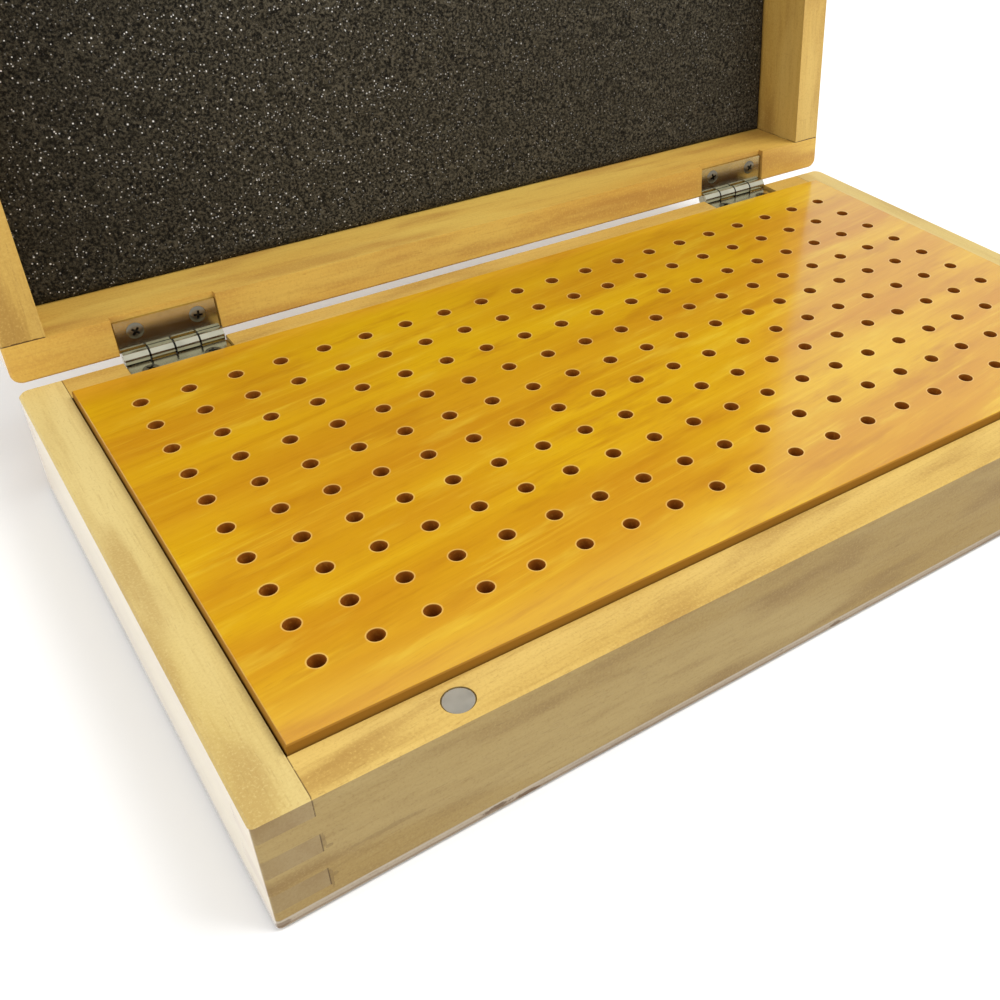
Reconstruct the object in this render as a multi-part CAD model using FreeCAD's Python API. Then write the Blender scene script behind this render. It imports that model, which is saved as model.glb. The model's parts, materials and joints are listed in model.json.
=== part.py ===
import FreeCAD, Part
import math
import os
from FreeCAD import Vector

# Bur holder box: a low drilled block in a finger-jointed wooden box, under a deep hinged lid lined with foam.
# Millimetres. X runs along the hinges, the front faces -Y, Z is up, and the origin is the centre of the underside.
# The lid is drawn shut, then turned open about the hinge pins to the angle where it stands by itself.

# Drilled block
hole_columns = 20
hole_rows = 10
hole_pitch = 9.0
hole_diameter = 2.8
hole_floor = 3.5
margin_left = 9.4
margin_right = 10.0
margin_front = 12.0
margin_back = 11.4
block_proud = 1.7
block_gap = 0.3
block_bevel = 0.3

# Box frames and panels
rail_thickness = 8.0
base_rail_height = 19.8
lid_rail_height = 32.0
base_panel_thickness = 2.0
lid_panel_thickness = 2.0
finger_height = 3.6
front_corner_radius = 0.8
back_corner_radius = 2.2
edge_bevel = 0.4
closing_gap = 0.1

# Foam lining of the lid
foam_recess = 14.5
foam_gap = 0.1

# Hinges
open_angle = 92.6
hinge_length = 20.0
hinge_inset = 20.0
hinge_overhang = 0.75
leaf_thickness = 0.8
leaf_inset = 1.15
knuckle_count = 4
knuckle_side_gap = 0.1
knuckle_notch_gap = 0.25
knuckle_seam = 0.15
pin_diameter = 1.4
pin_seat_clearance = 0.02
pin_running_clearance = 0.05
mortise_side_gap = 0.3

# Hinge screws
screw_spacing = 12.4
screw_edge_distance = 2.5
screw_length = 7.0
screw_head_diameter = 3.4
screw_shank_diameter = 1.7
screw_raise = 0.3
screw_tip_length = 1.5
screw_fit = 0.02

# Closing magnets
magnet_diameter = 5.0
magnet_thickness = 2.5
magnet_inset = 31.0
magnet_sink = 0.1
magnet_chamfer = 0.2
magnet_fit = 0.02

# Worked out from the sizes above
block_length = (hole_columns - 1) * hole_pitch + margin_left + margin_right
block_depth = (hole_rows - 1) * hole_pitch + margin_front + margin_back
inside_length = block_length + 2 * block_gap
inside_depth = block_depth + 2 * block_gap
box_length = inside_length + 2 * rail_thickness
box_depth = inside_depth + 2 * rail_thickness
left = -box_length / 2
front = -box_depth / 2
back = box_depth / 2

base_rim = base_panel_thickness + base_rail_height
block_top = base_rim + block_proud
lid_rim = base_rim + closing_gap
lid_frame_top = lid_rim + lid_rail_height
lid_top = lid_frame_top + lid_panel_thickness

axis_y = back + hinge_overhang
axis_z = base_rim + closing_gap / 2
pin_radius = pin_diameter / 2
knuckle_radius = pin_radius + pin_running_clearance + leaf_thickness
knuckle_length = hinge_length / knuckle_count
leaf_width = rail_thickness + hinge_overhang - leaf_inset
leaf_face = leaf_thickness - knuckle_radius
hinge_centres = (left + hinge_inset + hinge_length / 2, -left - hinge_inset - hinge_length / 2)
screw_offset = screw_edge_distance - leaf_width
magnet_centres = (left + magnet_inset, -left - magnet_inset)
sides = ("left", "right")


def box(low_x, high_x, low_y, high_y, low_z, high_z):
    size = (high_x - low_x, high_y - low_y, high_z - low_z)
    return Part.makeBox(size[0], size[1], size[2], Vector(low_x, low_y, low_z))


def upright_cylinder(radius, x, y, low_z, high_z):
    return Part.makeCylinder(radius, high_z - low_z, Vector(x, y, low_z))


def along_hinge(radius, low_x, high_x):
    return Part.makeCylinder(radius, high_x - low_x, Vector(low_x, 0, 0), Vector(1, 0, 0))


def edges_where(shape, test):
    return [edge for edge in shape.Edges if test(edge.BoundBox)]


def is_upright(bounds):
    return bounds.ZLength > bounds.XLength + bounds.YLength


# Outer form of the base or the lid: round back corners, nearly square front ones, bevelled outer edges
def bevelled_envelope(low_z, high_z):
    body = box(left, -left, front, back, low_z, high_z)
    front_edges = edges_where(body, lambda b: is_upright(b) and b.YMax < 0)
    body = body.makeFillet(front_corner_radius, front_edges)
    back_edges = edges_where(body, lambda b: is_upright(b) and b.YMin > back - back_corner_radius / 2)
    body = body.makeFillet(back_corner_radius, back_edges)
    ends = [low_z, high_z]
    flat_edges = edges_where(body, lambda b: any(abs(b.ZMin - z) + abs(b.ZMax - z) < edge_bevel / 10 for z in ends))
    return body.makeChamfer(edge_bevel, flat_edges)


# Finger joints: bands of equal height counted from the rim, every other one owned by the side rails
def finger_bands(rim, height, direction):
    count = math.ceil(height / finger_height)
    far = [min((k + 1) * finger_height, height) for k in range(count)]
    near = [k * finger_height for k in range(count)]
    return [sorted((rim + direction * a, rim + direction * b)) for a, b in zip(near, far)]


def corner_cells(bands, parity):
    cells = []
    for low_z, high_z in bands[parity::2]:
        for low_x in (left, -left - rail_thickness):
            for low_y in (front, back - rail_thickness):
                cells.append(box(low_x, low_x + rail_thickness, low_y, low_y + rail_thickness, low_z, high_z))
    return Part.makeCompound(cells)


def jointed_rails(envelope, low_z, high_z, side_cells, end_cells):
    blanks = {
        "left": (box(left, left + rail_thickness, front, back, low_z, high_z), end_cells),
        "right": (box(-left - rail_thickness, -left, front, back, low_z, high_z), end_cells),
        "front": (box(left, -left, front, front + rail_thickness, low_z, high_z), side_cells),
        "back": (box(left, -left, back - rail_thickness, back, low_z, high_z), side_cells),
    }
    return {name: envelope.common(blank).cut(cells) for name, (blank, cells) in blanks.items()}


# Block: solid, filling the base and standing a little proud of its rim, with blind holes on a square grid
def drilled_block():
    low_x = left + rail_thickness + block_gap
    low_y = front + rail_thickness + block_gap
    body = box(low_x, low_x + block_length, low_y, low_y + block_depth, base_panel_thickness, block_top)
    top_edges = edges_where(body, lambda b: b.ZMin > block_top - block_bevel)
    body = body.makeChamfer(block_bevel, top_edges)
    holes = []
    for column in range(hole_columns):
        for row in range(hole_rows):
            x = low_x + margin_left + column * hole_pitch
            y = low_y + margin_front + row * hole_pitch
            bottom = base_panel_thickness + hole_floor
            holes.append(upright_cylinder(hole_diameter / 2, x, y, bottom, block_top + block_bevel))
    return body.cut(Part.makeCompound(holes))


# Hinge leaf about its own pin line: a flat plate below the line, rolled up into the knuckles it owns
def knuckle_span(index):
    low_x = index * knuckle_length - hinge_length / 2
    return low_x + knuckle_side_gap / 2, low_x + knuckle_length - knuckle_side_gap / 2


def hinge_leaf(first_knuckle, bore_clearance):
    half = hinge_length / 2
    leaf = box(-half, half, -leaf_width, 0, -knuckle_radius, leaf_face)
    notch = knuckle_radius + knuckle_notch_gap
    for index in range(knuckle_count):
        low_x, high_x = knuckle_span(index)
        if index % 2 == first_knuckle:
            leaf = leaf.fuse(along_hinge(knuckle_radius, low_x, high_x))
        else:
            low_cut = low_x - knuckle_side_gap
            high_cut = high_x + knuckle_side_gap
            leaf = leaf.cut(box(low_cut, high_cut, -notch, 0, -knuckle_radius, leaf_face))
    leaf = leaf.cut(along_hinge(pin_radius + bore_clearance, -half, half))
    leaf = leaf.cut(box(-half, half, -knuckle_radius, 0, leaf_face, leaf_face + knuckle_seam))
    for x in (-screw_spacing / 2, screw_spacing / 2):
        leaf = leaf.cut(countersink(screw_fit).translated(Vector(x, screw_offset, leaf_face)))
    return leaf.removeSplitter()


def hinge_pin():
    return along_hinge(pin_radius, -hinge_length / 2, hinge_length / 2)


# Hinge screw, standing on its tip with the leaf's face at height 0
def countersink(clearance):
    outer = screw_head_diameter / 2 + clearance
    inner = screw_shank_diameter / 2 + clearance
    depth = outer - inner
    cone = Part.makeCone(inner, outer, depth, Vector(0, 0, -depth))
    bore = upright_cylinder(inner, 0, 0, -screw_length, 0)
    return cone.fuse(bore)


def hinge_screw():
    head = screw_head_diameter / 2
    shank = screw_shank_diameter / 2
    corners = [
        Vector(0, 0, screw_raise),
        Vector(head - screw_raise, 0, screw_raise),
        Vector(head, 0, 0),
        Vector(shank, 0, shank - head),
        Vector(shank, 0, screw_tip_length - screw_length),
        Vector(0, 0, -screw_length),
    ]
    profile = Part.Face(Part.makePolygon(corners + corners[:1]))
    return profile.revolve(Vector(0, 0, 0), Vector(0, 0, 1), 360)


def magnet():
    disc = upright_cylinder(magnet_diameter / 2, 0, 0, -magnet_thickness, 0)
    rims = edges_where(disc, lambda b: b.ZLength < magnet_chamfer and b.ZMin > -magnet_chamfer)
    return disc.makeChamfer(magnet_chamfer, rims)


# Turns a piece drawn below the closing plane into its partner above it
def mirrored_up(shape):
    return shape.mirror(Vector(0, 0, axis_z), Vector(0, 0, 1))


def at_hinge(shape, x):
    return shape.translated(Vector(x, axis_y, axis_z))


# Everything cut from a back rail for its two hinges: full-width mortises and screw holes
def hinge_cuts():
    half = hinge_length / 2 + mortise_side_gap
    floor = axis_z - knuckle_radius
    cuts = []
    for x in hinge_centres:
        cuts.append(box(x - half, x + half, back - rail_thickness, back, floor, axis_z))
        for side in (-screw_spacing / 2, screw_spacing / 2):
            cuts.append(at_hinge(countersink(screw_fit).translated(Vector(side, screw_offset, leaf_face)), x))
    return Part.makeCompound(cuts)


def magnet_pockets():
    y = front + rail_thickness / 2
    floor = base_rim - magnet_sink - magnet_thickness
    return Part.makeCompound(
        [upright_cylinder(magnet_diameter / 2 + magnet_fit, x, y, floor, axis_z) for x in magnet_centres]
    )


def placed_magnets():
    y = front + rail_thickness / 2
    return [magnet().translated(Vector(x, y, base_rim - magnet_sink)) for x in magnet_centres]


def placed_screws():
    return [
        at_hinge(hinge_screw().translated(Vector(side, screw_offset, leaf_face)), x)
        for x in hinge_centres
        for side in (-screw_spacing / 2, screw_spacing / 2)
    ]


def base_parts():
    envelope = bevelled_envelope(0, base_rim)
    bands = finger_bands(base_rim, base_rail_height, -1)
    rails = jointed_rails(
        envelope, base_panel_thickness, base_rim, corner_cells(bands, 0), corner_cells(bands, 1)
    )
    rails["back"] = rails["back"].cut(hinge_cuts())
    rails["front"] = rails["front"].cut(magnet_pockets())
    parts = {"base_" + name + "_rail": rail for name, rail in rails.items()}
    parts["base_panel"] = envelope.common(box(left, -left, front, back, 0, base_panel_thickness))
    parts["bur_block"] = drilled_block()
    for side, x, disc in zip(sides, hinge_centres, placed_magnets()):
        parts["base_hinge_leaf_" + side] = at_hinge(hinge_leaf(0, pin_seat_clearance), x)
        parts["hinge_pin_" + side] = at_hinge(hinge_pin(), x)
        parts["base_magnet_" + side] = disc
    for number, screw in enumerate(placed_screws(), 1):
        parts["base_hinge_screw_" + str(number)] = screw
    return parts


def lid_parts():
    envelope = bevelled_envelope(lid_rim, lid_top)
    bands = finger_bands(lid_rim, lid_rail_height, 1)
    rails = jointed_rails(envelope, lid_rim, lid_frame_top, corner_cells(bands, 1), corner_cells(bands, 0))
    rails["back"] = rails["back"].cut(mirrored_up(hinge_cuts()))
    rails["front"] = rails["front"].cut(mirrored_up(magnet_pockets()))
    parts = {"lid_" + name + "_rail": rail for name, rail in rails.items()}
    parts["lid_panel"] = envelope.common(box(left, -left, front, back, lid_frame_top, lid_top))
    gap = rail_thickness + foam_gap
    foam_face = lid_rim + foam_recess
    parts["lid_foam"] = box(left + gap, -left - gap, front + gap, back - gap, foam_face, lid_frame_top)
    for side, x, disc in zip(sides, hinge_centres, placed_magnets()):
        parts["lid_hinge_leaf_" + side] = mirrored_up(at_hinge(hinge_leaf(1, pin_running_clearance), x))
        parts["lid_magnet_" + side] = mirrored_up(disc)
    for number, screw in enumerate(placed_screws(), 1):
        parts["lid_hinge_screw_" + str(number)] = mirrored_up(screw)
    return parts


def opened(shape):
    return shape.rotated(Vector(0, axis_y, axis_z), Vector(1, 0, 0), -open_angle)


def export(parts):
    os.makedirs("parts", exist_ok=True)
    for name, shape in parts.items():
        for index, solid in enumerate(shape.Solids):
            if index or not solid.isValid():
                raise ValueError(name + " is not one sound solid")
        shape.Solids[0].exportStep("parts/" + name + ".step")


export(base_parts())
export({name: opened(shape) for name, shape in lid_parts().items()})
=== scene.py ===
import bpy
import json
import math
from mathutils import Matrix, Vector, noise


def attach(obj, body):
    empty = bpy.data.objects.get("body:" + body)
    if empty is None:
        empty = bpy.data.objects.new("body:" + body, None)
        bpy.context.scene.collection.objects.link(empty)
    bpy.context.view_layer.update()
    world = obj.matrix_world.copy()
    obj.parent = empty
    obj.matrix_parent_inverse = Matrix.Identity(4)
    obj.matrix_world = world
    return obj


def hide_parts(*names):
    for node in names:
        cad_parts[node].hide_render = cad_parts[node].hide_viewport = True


# Bur holder box: pale wooden frame, lacquered drilled block, hinged lid lined with charcoal foam.
# Metres, in the frame of the solids: X along the hinges, the front faces -Y, Z up.
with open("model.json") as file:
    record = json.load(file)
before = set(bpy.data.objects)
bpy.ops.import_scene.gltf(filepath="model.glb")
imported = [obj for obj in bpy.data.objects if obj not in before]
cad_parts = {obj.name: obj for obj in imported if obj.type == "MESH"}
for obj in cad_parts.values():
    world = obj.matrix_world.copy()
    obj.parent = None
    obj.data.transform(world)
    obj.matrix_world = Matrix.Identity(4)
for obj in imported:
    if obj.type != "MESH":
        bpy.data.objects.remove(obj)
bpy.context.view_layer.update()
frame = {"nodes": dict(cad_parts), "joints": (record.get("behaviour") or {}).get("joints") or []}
nodes = frame["nodes"]

mm = 0.001
half_length = 103.5 * mm
half_depth = 60.5 * mm
rail = 8.0 * mm
rim = 21.8 * mm
lid_rim = 21.9 * mm
block_top = 23.5 * mm
hole_pitch = 9.0 * mm
hole_radius = 1.4 * mm
first_hole = Vector((-85.8 * mm, -40.2 * mm, 0))
pin_line = Vector(frame["joints"][0]["pos_m"])
open_angle = math.radians(frame["joints"][0]["range_deg"][1])
drilled_half_length = 88.5 * mm
drilled_half_depth = 44.5 * mm

finger = 3.6 * mm
seam_width = 0.16 * mm

leaf_face = 0.75 * mm
hinge_middle = 73.5 * mm
knuckle_length = 5.0 * mm
knuckle_radius = 1.62 * mm
screw_half_spacing = 6.2 * mm
screw_line = 5.1 * mm
screw_head = 1.7 * mm
screw_shank = 0.85 * mm
screw_length = 7.0 * mm
screw_tip = 1.5 * mm
recess_reach = 1.05 * mm

foam_half_length = 95.4 * mm
foam_half_depth = 52.4 * mm
foam_face = 36.4 * mm
foam_back = 53.9 * mm
foam_roll = 2.2 * mm
foam_edge_lift = 0.9 * mm

# Carries a place in the shut lid to its place in the open one
lid_turn = (
    Matrix.Translation(pin_line)
    @ Matrix.Rotation(-open_angle, 4, "X")
    @ Matrix.Translation(-pin_line)
)
no_turn = Matrix.Identity(4)


# An output socket that the arithmetic signs work on
class Value:
    def __init__(self, graph, socket):
        self.graph = graph
        self.socket = socket

    def joined(self, operation, *others):
        inputs = dict(enumerate((self,) + others))
        return self.graph.add("ShaderNodeMath", {"operation": operation}, inputs)

    def swapped(self, operation, other):
        return self.graph.add("ShaderNodeMath", {"operation": operation}, {0: other, 1: self})

    def __add__(self, other):
        return self.joined("ADD", other)

    def __radd__(self, other):
        return self.swapped("ADD", other)

    def __sub__(self, other):
        return self.joined("SUBTRACT", other)

    def __rsub__(self, other):
        return self.swapped("SUBTRACT", other)

    def __mul__(self, other):
        return self.joined("MULTIPLY", other)

    def __rmul__(self, other):
        return self.swapped("MULTIPLY", other)

    def __truediv__(self, other):
        return self.joined("DIVIDE", other)

    def __abs__(self):
        return self.joined("ABSOLUTE")

    def __pow__(self, other):
        return self.joined("POWER", other)

    def __gt__(self, other):
        return self.joined("GREATER_THAN", other)

    def __lt__(self, other):
        return self.joined("LESS_THAN", other)


class Graph:
    def __init__(self, name):
        self.material = bpy.data.materials.new(name)
        self.material.use_nodes = True
        self.tree = self.material.node_tree
        self.shader = self.tree.nodes["Principled BSDF"]
        self.place = self.add("ShaderNodeTexCoord", {}, {}, "Object")
        self.facing = self.add("ShaderNodeTexCoord", {}, {}, "Normal")

    def add(self, kind, settings, inputs, output=0):
        node = self.tree.nodes.new(kind)
        for key, setting in settings.items():
            setattr(node, key, setting)
        for key, value in inputs.items():
            self.feed(node.inputs[key], value)
        return Value(self, node.outputs[output])

    def feed(self, socket, value):
        if isinstance(value, Value):
            self.tree.links.new(value.socket, socket)
        else:
            socket.default_value = value

    def mix(self, amount, first, second, blend="MIX"):
        settings = {"data_type": "RGBA", "blend_type": blend}
        return self.add("ShaderNodeMix", settings, {0: amount, 6: first, 7: second}, 2)

    def tinted(self, body, tint):
        return self.mix(1.0, body, tint, "MULTIPLY")

    # Lays tones over the body, each where its texture passes from low to high
    def cover(self, body, *layers):
        for texture, low, high, strength, tone in layers:
            body = self.mix(self.step(texture, low, high) * strength, body, tone)
        return body

    def step(self, value, low, high):
        inputs = {0: value, 1: low, 2: high, 3: 0.0, 4: 1.0}
        return self.add("ShaderNodeMapRange", {"interpolation_type": "SMOOTHSTEP"}, inputs)

    def noise(self, place, scale, detail=2.0, roughness=0.5):
        inputs = {"Vector": place, "Scale": scale, "Detail": detail, "Roughness": roughness}
        return self.add("ShaderNodeTexNoise", {}, inputs)

    def mapped(self, **inputs):
        inputs["Vector"] = self.place
        return self.add("ShaderNodeMapping", {"vector_type": "TEXTURE"}, inputs)

    # Noise with one size along the grain and two across it
    def figure(self, turn, start, sizes, detail, roughness=0.5):
        place = self.mapped(Location=start, Rotation=turn, Scale=sizes)
        return self.noise(place, 1.0, detail, roughness)

    # Place in the shut box, from the place at rest
    def shut_place(self, matrix):
        return self.mapped(Location=matrix.translation, Rotation=matrix.to_euler("XYZ"))

    def part_of(self, vector, axis):
        return self.add("ShaderNodeSeparateXYZ", {}, {0: vector}, axis)

    def bump(self, height, distance, strength):
        inputs = {"Height": height, "Distance": distance, "Strength": strength}
        return self.add("ShaderNodeBump", {}, inputs)

    def finish(self, **sockets):
        for name, value in sockets.items():
            self.feed(self.shader.inputs[name.replace("_", " ")], value)
        return self.material


def colour(red, green, blue):
    return (red, green, blue, 1.0)


def palette(*parts):
    return tuple(colour(*part) for part in parts)


def length_of(first, second):
    return (first * first + second * second) ** 0.5


# Growth rings about a far-off pith line, with fibres and short pores along the grain
def grain(graph, turn, start, ring_gap, waviness):
    broad = graph.figure(turn, start, (0.07, 0.016, 0.016), 2.0)
    place = graph.mapped(Location=start, Rotation=turn)
    along = graph.part_of(place, 0)
    across = graph.part_of(place, 1) + (broad - 0.5) * waviness + along * 0.06
    deep = graph.part_of(place, 2) + (broad - 0.5) * waviness
    phase = (length_of(across, deep) / ring_gap).joined("FRACT")
    ring = graph.step(phase, 0.0, 0.75) * (1.0 - graph.step(phase, 0.82, 1.0))
    fibre = graph.figure(turn, start, (0.012, 0.0005, 0.0005), 4.0, 0.65)
    pore = graph.figure(turn, start, (0.0035, 0.00028, 0.00028), 1.0)
    return ring, fibre, graph.step(pore, 0.66, 0.74), broad


# Thin dark line where a finger of the crossing rail ends: at one distance from the middle,
# in every other band from the rim
def finger_seams(graph, matrix, axis, reach, rim_height, direction, first_band):
    place = graph.shut_place(matrix)
    ragged = graph.noise(graph.place, 900.0, 2.0)
    offset = abs(graph.part_of(place, axis)) - reach
    line = graph.step(abs(offset), seam_width * 1.4, seam_width * 0.4)
    bands = ((graph.part_of(place, 2) - rim_height) * direction + 0.02 * mm) / (2 * finger)
    share = (bands - first_band * 0.5).joined("FRACT")
    return line * (share < 0.5) * graph.step(ragged, 0.27, 0.4)


# Small torn or stained spots, each a middle and half sizes in millimetres
def spots(graph, marks):
    rough = graph.noise(graph.place, 700.0, 3.0, 0.7)
    total = 0.0
    for middle, sizes, strength in marks:
        near = graph.mapped(Location=Vector(middle) * mm, Scale=Vector(sizes) * mm)
        length = graph.add("ShaderNodeVectorMath", {"operation": "LENGTH"}, {0: near}, "Value")
        spot = graph.step(length + (rough - 0.5) * 1.6, 1.0, 0.7) * strength
        total = spot.joined("MAXIMUM", total)
    return total


# Glue lines and rubbed spots on the edges of a thin ply panel
def ply_edge(graph, body):
    upright = 1.0 - graph.step(abs(graph.part_of(graph.facing, 2)), 0.3, 0.6)
    wander = graph.noise(graph.place, 160.0, 2.0) - 0.5
    height = graph.part_of(graph.place, 2) / mm + wander * 0.3
    lines = (
        (1.75, 0.35, colour(0.52, 0.46, 0.36)),
        (0.72, 0.55, colour(0.16, 0.10, 0.05)),
    )
    for level, strength, tone in lines:
        line = graph.step(abs(height - level), 0.26, 0.10) * strength
        body = graph.mix(line * upright, body, tone)
    worn = graph.figure((0.0, 0.0, 0.0), (0.0, 0.0, 0.0), (0.006, 0.006, 0.0012), 3.0, 0.7)
    return graph.mix(graph.step(worn, 0.66, 0.72) * upright * 0.8, body, colour(0.09, 0.06, 0.035))


# Seams, painted shade tints, ply edges and marks are laid on only where a rail or panel has them
def wood(name, tones, turn, start, end_axis, seams=None, painted_shade_tints=(), layered=False, marks=()):
    pale, warm, dark = tones
    graph = Graph(name)
    ring, fibre, pore, broad = grain(graph, turn, start, 0.0075, 0.022)
    speck = graph.noise(graph.place, 2300.0, 2.0, 0.7)
    body = graph.mix(graph.step(broad, 0.35, 0.68), pale, warm)
    body = graph.mix(ring * 0.35, body, warm)
    stain = graph.figure(turn, start, (0.035, 0.007, 0.007), 2.0, 0.5)
    flame = graph.figure(turn, start, (0.024, 0.0032, 0.0032), 3.0, 0.6)
    body = graph.cover(
        body,
        (stain, 0.48, 0.70, 0.65, dark),
        (flame, 0.52, 0.80, 0.45, dark),
        (flame, 0.48, 0.25, 0.35, pale),
        (fibre, 0.45, 0.80, 0.35, dark),
    )
    body = graph.mix(pore * 0.25, body, dark)
    body = graph.cover(body, (speck, 0.5, 0.75, 0.5, pale), (speck, 0.5, 0.25, 0.3, dark))
    end_grain = graph.step(abs(graph.part_of(graph.facing, end_axis)), 0.6, 0.9)
    body = graph.mix(end_grain * 0.35, body, dark)
    if layered:
        body = ply_edge(graph, body)
    # Painted shade: faces turned to the front are darkened and greyed by a multiplied tint
    for axis, sign, tint in painted_shade_tints:
        upright = 1.0 - graph.step(abs(graph.part_of(graph.facing, 2)), 0.2, 0.5)
        shade = graph.step(graph.part_of(graph.facing, axis) * sign, 0.2, 0.5)
        body = graph.mix(shade * upright, body, graph.tinted(body, tint))
    # Painted sheen: the outer end faces are paled towards white in place of glancing reflection; the
    # same mask raises the coat there
    outside = abs(graph.part_of(graph.place, 0)) > half_length - 1.5 * mm
    painted_side_sheen = graph.step(abs(graph.part_of(graph.facing, 0)), 0.75, 0.95) * outside
    body = graph.mix(painted_side_sheen * 0.5, body, colour(0.92, 0.87, 0.80))
    height = fibre * 0.6 - pore
    if marks:
        torn = spots(graph, marks)
        body = graph.mix(torn * 0.85, body, colour(0.10, 0.05, 0.018))
        height = height - torn * 2.0
    if seams:
        seam = finger_seams(graph, *seams)
        body = graph.mix(seam * 0.8, body, colour(0.07, 0.035, 0.012))
        height = height - seam * 3.0
    return graph.finish(
        Base_Color=body,
        Roughness=0.52 + fibre * 0.12,
        Specular_IOR_Level=0.25,
        Coat_Weight=0.08 + painted_side_sheen * 0.92,
        Coat_Roughness=0.22,
        Normal=graph.bump(height, 0.00006, 0.5),
    )


# Distance from the middle of the nearest hole
def hole_distance(graph):
    offsets = []
    for axis in (0, 1):
        edge = first_hole[axis] - hole_pitch / 2
        cell = (graph.part_of(graph.place, axis) - edge) / hole_pitch
        offsets.append(cell.joined("FRACT") - 0.5)
    return length_of(*offsets) * hole_pitch


# Glossy on top, dull and brown in the holes and down the sides
def lacquered_block():
    graph = Graph("lacquered_block")
    turn = (0.0, 0.0, math.radians(8))
    start = (0.02, 0.075, -0.03)
    ring, fibre, pore, broad = grain(graph, turn, start, 0.011, 0.05)
    gold, brown = palette((0.60, 0.345, 0.002), (0.50, 0.222, 0.005))
    body = graph.mix(graph.step(broad, 0.3, 0.7), gold, brown)
    body = graph.mix(ring * 0.16, body, colour(0.70, 0.43, 0.012))
    streak = graph.figure(turn, start, (0.05, 0.0021, 0.0021), 4.0, 0.7)
    flame = graph.figure(turn, start, (0.03, 0.006, 0.006), 4.0, 0.65)
    body = graph.cover(
        body,
        (streak, 0.50, 0.78, 0.60, colour(0.44, 0.185, 0.001)),
        (streak, 0.48, 0.25, 0.45, colour(0.70, 0.47, 0.025)),
        (flame, 0.50, 0.72, 0.70, colour(0.43, 0.175, 0.003)),
        (flame, 0.46, 0.25, 0.50, colour(0.68, 0.47, 0.035)),
        (fibre, 0.44, 0.80, 0.25, colour(0.42, 0.19, 0.002)),
    )
    body = graph.mix(pore * 0.25, body, colour(0.36, 0.15, 0.002))
    across, deep, height = [graph.part_of(graph.place, axis) for axis in range(3)]
    drilled = (abs(across) < drilled_half_length) * (abs(deep) < drilled_half_depth)
    # Painted highlight: a pale ring around the rim of each drilled hole
    clear = graph.step(hole_distance(graph), hole_radius + 0.12 * mm, hole_radius + 0.3 * mm)
    body = graph.mix((1.0 - clear) * drilled * 0.36, body, colour(0.80, 0.55, 0.20))
    below = graph.step(block_top - height, 0.06 * mm, 0.16 * mm)
    crumb = graph.noise(graph.place, 1500.0, 2.0, 0.7)
    deep_brown, dust = palette((0.29, 0.085, 0.008), (0.46, 0.19, 0.025))
    dusty = graph.mix(graph.step(crumb, 0.5, 0.72) * 0.5, deep_brown, dust)
    body = graph.mix(below * drilled, body, dusty)
    body = graph.mix(below * (1.0 - drilled), body, colour(0.28, 0.13, 0.016))
    return graph.finish(
        Base_Color=body,
        Roughness=0.5 + below * 0.2,
        Specular_IOR_Level=0.08,
        Coat_Weight=1.0 - below,
        Coat_Roughness=0.15,
        Coat_IOR=1.6,
        Normal=graph.bump(fibre, 0.00004, 0.35),
    )


def nickel(name, tint, roughness, grain_sizes, knuckles=False):
    graph = Graph(name)
    brushed = graph.figure((0.0, 0.0, 0.0), (0.0, 0.0, 0.0), grain_sizes, 3.0, 0.6)
    cloud = graph.noise(graph.place, 260.0, 2.0)
    bright, dim = palette(tint, [0.7 * part for part in tint])
    body = graph.mix(graph.step(cloud, 0.4, 0.75) * 0.6, bright, dim)
    if knuckles:
        # Painted shade: near-black bands where the knuckles meet
        body = graph.mix(knuckle_gap_shade(graph) * 0.95, body, colour(0.015, 0.012, 0.010))
    return graph.finish(
        Base_Color=body,
        Metallic=1.0,
        Roughness=roughness + brushed * 0.12,
        Normal=graph.bump(brushed, 0.00002, 0.3),
    )


# Painted shade in the gaps between the rolled knuckles, and only close to the pin
def knuckle_gap_shade(graph):
    offset = (abs(graph.part_of(graph.place, 0)) - hinge_middle) / knuckle_length
    gap = graph.step(abs((offset + 0.5).joined("FRACT") - 0.5), 0.05, 0.03) * (abs(offset) < 1.5)
    deep = graph.part_of(graph.place, 1) - pin_line.y
    high = graph.part_of(graph.place, 2) - pin_line.z
    return gap * (length_of(deep, high) < knuckle_radius)


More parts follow.
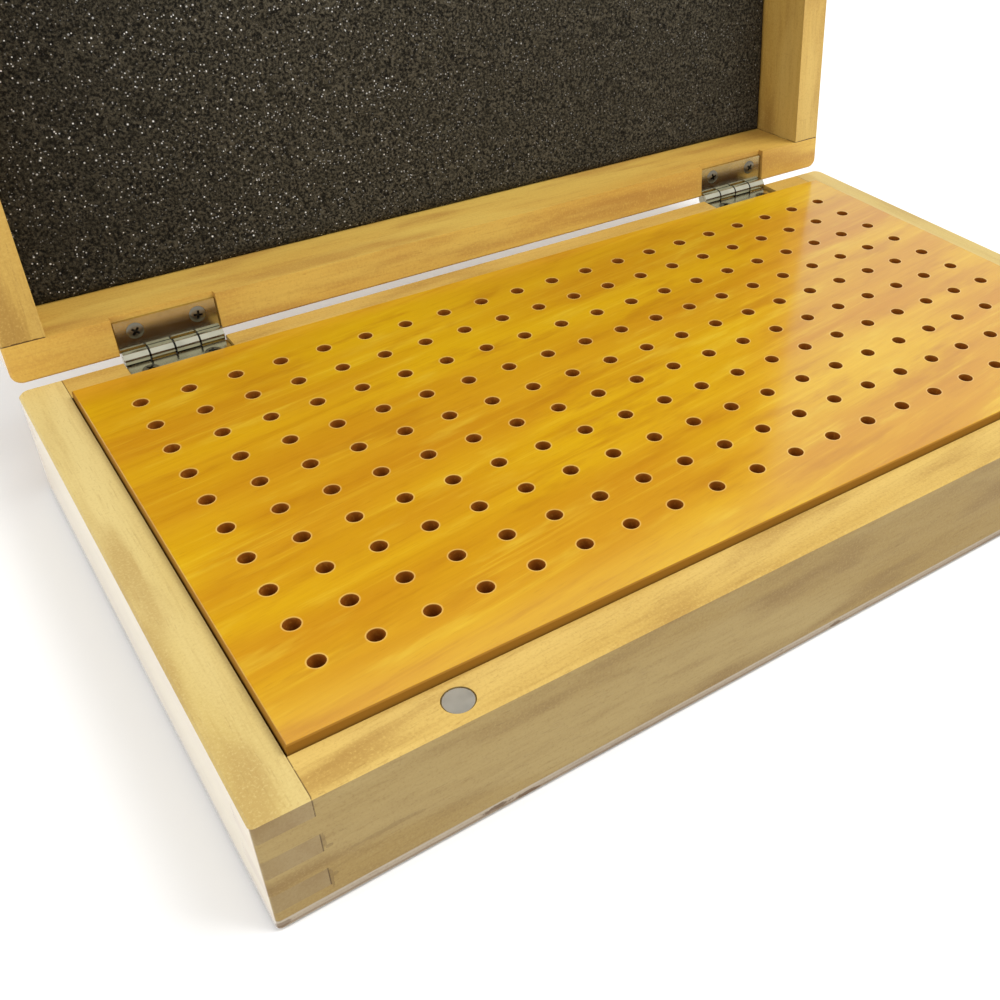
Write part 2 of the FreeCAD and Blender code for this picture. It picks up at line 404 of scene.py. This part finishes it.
def open_cell_foam():
    graph = Graph("open_cell_foam")
    cell = graph.noise(graph.place, 1700.0, 3.0, 0.75)
    clump = graph.noise(graph.place, 420.0, 2.0)
    black, ash = palette((0.004, 0.0035, 0.0025), (0.104, 0.092, 0.064))
    body = graph.mix(graph.step(cell, 0.38, 0.68), black, ash)
    body = graph.cover(body, (clump, 0.4, 0.7, 0.3, colour(0.026, 0.023, 0.014)))
    # Painted shade: the foam is darkened towards the left end
    left_painted_shade = graph.step(graph.part_of(graph.place, 0), -0.02, -0.10) * 0.5
    body = graph.mix(left_painted_shade, body, graph.tinted(body, colour(0.26, 0.24, 0.22)))
    # Glints: the lit middles of a few cells in each of three sizes
    shine = 0.0
    for size, least, spread in ((820.0, 0.90, 0.22), (1400.0, 0.87, 0.32), (2300.0, 0.88, 0.40)):
        settings = {"feature": "F1", "distance": "EUCLIDEAN"}
        inputs = {"Vector": graph.place, "Scale": size}
        spot = graph.add("ShaderNodeTexVoronoi", settings, inputs, "Distance")
        tint = graph.add("ShaderNodeTexVoronoi", settings, inputs, "Color")
        glint = (1.0 - graph.step(spot, spread * 0.4, spread)) * (graph.part_of(tint, 0) > least)
        shine = (glint * (graph.part_of(tint, 1) ** 1.3)).joined("MAXIMUM", shine)
    shine = shine * (0.3 + 0.7 * graph.step(graph.part_of(graph.place, 0), 0.05, -0.06))
    body = graph.mix(shine, body, colour(0.95, 0.95, 0.93))
    return graph.finish(
        Base_Color=body,
        Roughness=0.95 - shine * 0.5,
        Specular_IOR_Level=0.2,
        Normal=graph.bump(cell, 0.0006, 0.9),
    )


def dress(node, material):
    for slot in nodes[node].material_slots:
        slot.material = material


def fresh(add, **settings):
    bpy.ops.object.select_all(action="DESELECT")
    add(**settings)
    return bpy.context.active_object


def select_only(piece):
    bpy.ops.object.select_all(action="DESELECT")
    piece.select_set(True)
    bpy.context.view_layer.objects.active = piece


def apply_place(piece, matrix):
    bpy.context.view_layer.update()
    piece.matrix_world = matrix @ piece.matrix_world
    select_only(piece)
    bpy.ops.object.transform_apply(location=True, rotation=True, scale=True)


def pick_faces(piece, test):
    bpy.ops.object.mode_set(mode="OBJECT")
    for part in (piece.data.vertices, piece.data.edges, piece.data.polygons):
        part.foreach_set("select", [False] * len(part))
    for face in piece.data.polygons:
        face.select = test(face)
    bpy.ops.object.mode_set(mode="EDIT")
    bpy.ops.mesh.select_mode(type="FACE")


# Draws an end cap out along Z in steps, each a shrink and a length
def draw_out(piece, way, steps):
    for shrink, length in steps:
        pick_faces(piece, lambda face: face.normal.z * way > 0.9 and len(face.vertices) > 4)
        bpy.ops.mesh.extrude_region_move(TRANSFORM_OT_translate={"value": (0, 0, way * length)})
        bpy.ops.transform.resize(value=(shrink, shrink, 1.0))


# Two crossed blades that narrow towards their lower ends
def cross_cutter(arm, width, depth, top):
    cutters = []
    for angle in (0.0, math.pi / 2):
        blade = fresh(bpy.ops.mesh.primitive_cube_add, size=1.0)
        blade.scale = (arm, width, depth)
        blade.location = (0, 0, top - depth / 2)
        blade.rotation_euler = (0, 0, angle)
        apply_place(blade, no_turn)
        pick_faces(blade, lambda face: face.normal.z < -0.9)
        bpy.ops.transform.resize(value=(0.55, 0.55, 1.0))
        bpy.ops.object.mode_set(mode="OBJECT")
        cutters.append(blade)
    return cutters


# Screw standing on its tip with the underside of its raised head at height 0
def hinge_screw(name, bright, painted_recess_shade):
    screw = fresh(bpy.ops.mesh.primitive_cylinder_add, vertices=40, radius=screw_head, depth=0.06 * mm)
    screw.name = name
    apply_place(screw, no_turn)
    dome = ((0.93, 0.13 * mm), (0.84, 0.10 * mm), (0.74, 0.06 * mm), (0.5, 0.05 * mm))
    draw_out(screw, 1, dome)
    cone = screw_head - screw_shank
    straight = screw_length - cone - screw_tip
    draw_out(screw, -1, ((screw_shank / screw_head, cone), (1.0, straight), (0.12, screw_tip)))
    bpy.ops.object.mode_set(mode="OBJECT")
    for blade in cross_cutter(2.0 * mm, 0.52 * mm, 0.8 * mm, 0.5 * mm):
        cut = screw.modifiers.new("recess", "BOOLEAN")
        cut.object = blade
        cut.solver = "EXACT"
        bpy.context.view_layer.objects.active = screw
        bpy.ops.object.modifier_apply(modifier=cut.name)
        bpy.data.objects.remove(blade)
    select_only(screw)
    bpy.ops.object.shade_smooth_by_angle(angle=math.radians(28))
    screw.data.materials.clear()
    screw.data.materials.append(bright)
    screw.data.materials.append(painted_recess_shade)
    # Painted shade: faces of the cross recess take the dark copy of the nickel
    for face in screw.data.polygons:
        within = face.center.xy.length < recess_reach and face.center.z > -0.4 * mm
        face.material_index = int(within and (abs(face.normal.z) < 0.6 or face.center.z < 0))
    return screw


# Each screw is turned its own way; the lid's are placed upside down in the shut lid
def place_screws(bright, painted_recess_shade):
    over = Matrix.Rotation(math.pi, 4, "X")
    number = 0
    for middle in (-hinge_middle, hinge_middle):
        for offset in (-screw_half_spacing, screw_half_spacing):
            number += 1
            spin = Matrix.Rotation(math.radians(17 + 31 * number), 4, "Z")
            x, y = middle + offset, pin_line.y - screw_line
            low = Matrix.Translation((x, y, pin_line.z - leaf_face)) @ spin
            high = lid_turn @ Matrix.Translation((x, y, pin_line.z + leaf_face)) @ over @ spin
            for side, matrix in (("base", low), ("lid", high)):
                node = side + "_hinge_screw_" + str(number)
                screw = hinge_screw(side + "_cross_screw_" + str(number), bright, painted_recess_shade)
                apply_place(screw, matrix)
                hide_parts(node)
                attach(screw, side)


# Padded slab with a lumpy face and rolled edges
def foam_lining(material):
    size = 2 * foam_half_length
    foam = fresh(bpy.ops.mesh.primitive_grid_add, x_subdivisions=180, y_subdivisions=100, size=size)
    foam.name = "foam_lining"
    foam.scale = (1.0, foam_half_depth / foam_half_length, 1.0)
    foam.location = (0, 0, foam_face)
    apply_place(foam, no_turn)
    bpy.ops.object.mode_set(mode="EDIT")
    bpy.ops.mesh.select_all(action="SELECT")
    bpy.ops.mesh.extrude_region_move(TRANSFORM_OT_translate={"value": (0, 0, foam_back - foam_face)})
    bpy.ops.mesh.select_all(action="SELECT")
    bpy.ops.mesh.normals_make_consistent(inside=False)
    bpy.ops.object.mode_set(mode="OBJECT")
    for vertex in foam.data.vertices:
        spot = vertex.co
        if spot.z > foam_face + mm:
            continue
        edge = min(foam_half_length - abs(spot.x), foam_half_depth - abs(spot.y))
        roll = max(0.0, 1.0 - edge / foam_roll)
        lumps = sum(noise.noise(spot * scale) * 0.12 + 0.12 for scale in (90.0, 900.0))
        spot.z += lumps * mm + roll * roll * foam_edge_lift
    for face in foam.data.polygons:
        face.use_smooth = True
    apply_place(foam, lid_turn)
    foam.data.materials.append(material)
    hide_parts("lid_foam")
    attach(foam, "lid")


def turn_of(matrix):
    return tuple(matrix.to_euler("XYZ"))


def dress_nodes():
    level = Matrix.Identity(3)
    slanted = Matrix.Rotation(math.radians(4), 3, "Z")
    crosswise = Matrix.Rotation(math.pi / 2, 3, "Z")
    raised = Matrix.Rotation(-open_angle, 3, "X")
    honey = palette((0.61, 0.42, 0.118), (0.51, 0.32, 0.07), (0.33, 0.18, 0.04))
    straw = palette((0.62, 0.485, 0.195), (0.53, 0.39, 0.125), (0.40, 0.26, 0.08))
    ply = palette((0.42, 0.35, 0.26), (0.33, 0.26, 0.18), (0.18, 0.13, 0.09))
    veneer = palette((0.66, 0.48, 0.20), (0.58, 0.38, 0.13), (0.45, 0.27, 0.085))
    amber = palette((0.68, 0.46, 0.10), (0.60, 0.35, 0.065), (0.43, 0.21, 0.045))
    # Painted shade tints for the front faces of the base rails, darker and greyer
    front_painted_shade_tints = {honey: colour(0.60, 0.63, 0.86), straw: colour(0.56, 0.54, 0.66)}
    base_long = (no_turn, 0, half_length - rail, rim, -1, 0)
    base_side = (no_turn, 1, half_depth - rail, rim, -1, 1)
    lid_long = (lid_turn, 0, half_length - rail, lid_rim, 1, 1)
    lid_side = (lid_turn, 1, half_depth - rail, lid_rim, 1, 0)
    rails = (
        ("base_front_rail", honey, slanted, (0.03, 0.07, -0.05), 0, base_long),
        ("base_back_rail", honey, level, (-0.06, 0.16, -0.04), 0, base_long),
        ("base_left_rail", straw, crosswise, (-0.14, 0.04, -0.06), 1, base_side),
        ("base_right_rail", straw, crosswise, (0.16, -0.03, -0.05), 1, base_side),
        ("base_panel", ply, level, (0.0, 0.2, 0.3), 0, None),
        ("lid_front_rail", honey, raised, (0.02, 0.13, 0.06), 0, lid_long),
        ("lid_back_rail", amber, raised, (-0.03, 0.12, -0.03), 0, lid_long),
        ("lid_left_rail", honey, raised @ crosswise, (-0.15, 0.0, 0.02), 2, lid_side),
        ("lid_right_rail", honey, raised @ crosswise, (0.16, 0.03, 0.01), 2, lid_side),
        ("lid_panel", veneer, raised, (0.0, 0.3, 0.1), 0, None),
    )
    # Middle and half sizes in millimetres, and strength
    marks = {
        "base_front_rail": (
            ((-95.2, -60.5, 13.0), (0.45, 0.5, 1.7), 0.4),
            ((-94.6, -60.5, 11.6), (0.6, 0.5, 0.35), 0.4),
            ((-95.2, -60.5, 5.2), (0.4, 0.5, 1.9), 0.45),
            ((-94.7, -60.5, 5.6), (0.7, 0.5, 0.5), 0.35),
            ((-94.3, -60.5, 21.8), (1.5, 0.35, 0.35), 0.5),
            ((-86.5, -60.5, 9.0), (6.0, 0.5, 0.5), 0.22),
        ),
        "base_panel": (
            ((-70.0, -60.5, 1.2), (3.0, 0.8, 0.5), 0.9),
            ((-64.8, -60.5, 0.8), (2.4, 0.8, 0.45), 0.9),
            ((-102.6, -60.3, 1.0), (1.2, 1.2, 0.6), 0.6),
            ((-2.0, -60.5, 0.9), (1.6, 0.8, 0.5), 0.8),
        ),
    }
    rail_middle = (half_length - rail / 2) / mm
    for side, middle in (("left", -rail_middle), ("right", rail_middle)):
        joint = lid_turn @ Vector((middle * mm, half_depth - rail, lid_rim)) / mm
        marks["lid_" + side + "_rail"] = [(joint, (4.4, 0.8, 0.34), 0.95)]
    for node, tones, matrix, start, end_axis, seams in rails:
        on_base = node.startswith("base")
        painted_shade_tints = [(1, -1, front_painted_shade_tints[tones])] if on_base and tones in front_painted_shade_tints else ()
        layered = node == "base_panel"
        torn = marks.get(node, ())
        turn = turn_of(matrix)
        finish = wood(node + "_wood", tones, turn, start, end_axis, seams, painted_shade_tints, layered, torn)
        dress(node, finish)
    dress("bur_block", lacquered_block())
    hinge = nickel("hinge_nickel", (0.58, 0.56, 0.43), 0.13, (0.01, 0.0004, 0.0004), knuckles=True)
    bright = nickel("magnet_nickel", (0.58, 0.555, 0.48), 0.26, (0.002, 0.002, 0.002))
    for side in ("left", "right"):
        dress("base_hinge_leaf_" + side, hinge)
        dress("lid_hinge_leaf_" + side, hinge)
        dress("hinge_pin_" + side, hinge)
        dress("base_magnet_" + side, bright)
        dress("lid_magnet_" + side, bright)


def studio():
    floor = fresh(bpy.ops.mesh.primitive_plane_add, size=6.0, location=(0, 0, -0.2 * mm))
    floor.name = "floor"
    graph = Graph("pale_floor")
    drift = graph.noise(graph.place, 3.0, 2.0)
    body = graph.mix(drift, colour(0.88, 0.88, 0.88), colour(0.90, 0.90, 0.90))
    graph.finish(Base_Color=body, Roughness=0.9)
    floor.data.materials.append(graph.material)
    scene = bpy.context.scene
    scene.view_settings.view_transform = "Standard"
    world = bpy.data.worlds.new("studio_white")
    world.use_nodes = True
    backdrop = world.node_tree.nodes["Background"]
    backdrop.inputs["Color"].default_value = colour(1.0, 1.0, 1.0)
    backdrop.inputs["Strength"].default_value = 0.9
    scene.world = world
    target = Vector((0, 0, 20 * mm))
    lamps = (
        ("key", (0.44, -0.30, 0.85), 0.55, 7.0),
        ("fill", (-0.8, -0.05, 0.35), 0.6, 2.0),
    )
    for name, place, size, power in lamps:
        lamp = bpy.data.lights.new(name, "AREA")
        lamp.size = size
        lamp.energy = power
        carrier = bpy.data.objects.new(name, lamp)
        scene.collection.objects.link(carrier)
        carrier.visible_glossy = False
        carrier.location = place
        carrier.rotation_euler = (target - Vector(place)).to_track_quat("-Z", "Y").to_euler()


# Camera solved from the hole grid and the box's edges in a square picture
def camera():
    picture = 1000
    sensor = 36.0
    focal_pixels = 1143.66
    centre_x = 645.47
    centre_y = 471.28
    right = Vector((0.807778, -0.589138, 0.020289))
    down = Vector((-0.332892, -0.484298, -0.809097))
    ahead = Vector((0.486495, 0.646817, -0.587324))
    eye = Vector((-0.117614, -0.157784, 0.139703))
    view = bpy.data.cameras.new("camera")
    view.sensor_width = sensor
    view.lens = sensor * focal_pixels / picture
    view.shift_x = (picture / 2 - centre_x) / picture
    view.shift_y = (centre_y - picture / 2) / picture
    view.clip_start = 0.01
    view.clip_end = 20.0
    carrier = bpy.data.objects.new("camera", view)
    bpy.context.scene.collection.objects.link(carrier)
    turned = Matrix((right, -down, -ahead)).transposed().to_4x4()
    carrier.matrix_world = Matrix.Translation(eye) @ turned
    bpy.context.scene.camera = carrier


dress_nodes()
speckle = (0.0006, 0.0006, 0.0006)
# The second nickel is a darker copy, painted shade for the screw recesses
place_screws(
    nickel("screw_nickel", (0.22, 0.20, 0.152), 0.24, speckle),
    nickel("recess_painted_shade_nickel", (0.07, 0.062, 0.048), 0.4, speckle),
)
foam_lining(open_cell_foam())
studio()
camera()
